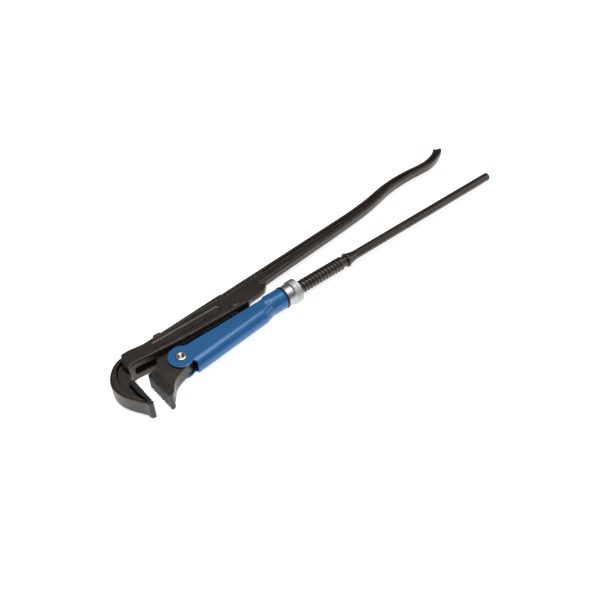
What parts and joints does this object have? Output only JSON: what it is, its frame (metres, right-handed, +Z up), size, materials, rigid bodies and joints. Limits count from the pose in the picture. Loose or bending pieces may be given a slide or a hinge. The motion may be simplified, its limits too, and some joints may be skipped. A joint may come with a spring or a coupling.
{
  "type": "pipe wrench",
  "caption": "Corner pipe wrench with two long handles: a fixed toothed hook jaw, a sliding toothed jaw in a folded sleeve, and a knurled adjusting nut on a thread.",
  "frame": {"origin": "middle of the whole tool's footprint, on the plane that it lies on", "axes": "+X along the threaded leg from the jaws to the handle ends, +Y from the threaded leg towards the hook leg's outer side, +Z up through the tool's thickness"},
  "size_m": [0.5602, 0.124, 0.028],
  "materials": {
    "forged_steel": "dark oiled satin",
    "bright_steel": "machined",
    "blue_paint": "semi-gloss",
    "zinc_plate": "zinc plated satin",
    "dark_washer": "blackened"
  },
  "bodies": {
    "hook_leg": {"hook_leg": "forged_steel"},
    "rod_leg": {"rod_leg": "forged_steel", "leg_pivot_pin": "bright_steel"},
    "sleeve": {"sleeve": "blue_paint", "jaw_rivet": "bright_steel", "nut_retaining_ring": "bright_steel", "thrust_washer": "dark_washer"},
    "adjusting_nut": {"adjusting_nut": "zinc_plate"},
    "movable_jaw": {"movable_jaw": "forged_steel"}
  },
  "joints": [
    {"name": "handle_squeeze", "type": "hinge", "parent": "hook_leg", "child": "rod_leg", "pos_m": [-0.11555, -0.02, 0.014], "axis": [0, 0, 1], "range_deg": [-0.8, 3.4]},
    {"name": "jaw_adjust", "type": "slide", "parent": "rod_leg", "child": "sleeve", "axis": [1, 0, 0], "range_m": [-0.0125, 0.056]},
    {"name": "nut_turn", "type": "hinge", "parent": "sleeve", "child": "adjusting_nut", "pos_m": [-0.05555, -0.02, 0.014], "axis": [1, 0, 0], "range_deg": [-960, 4295]},
    {"name": "jaw_rock", "type": "hinge", "parent": "sleeve", "child": "movable_jaw", "pos_m": [-0.20565, -0.0253, 0.014], "axis": [0, 0, 1], "range_deg": [-3.5, 0.9]}
  ],
  "couplings": [
    {"joint": "nut_turn", "follows": "jaw_adjust", "rad_per_m": 1336.8},
    {"joint": "jaw_rock", "follows": "handle_squeeze", "ratio": -1}
  ]
}
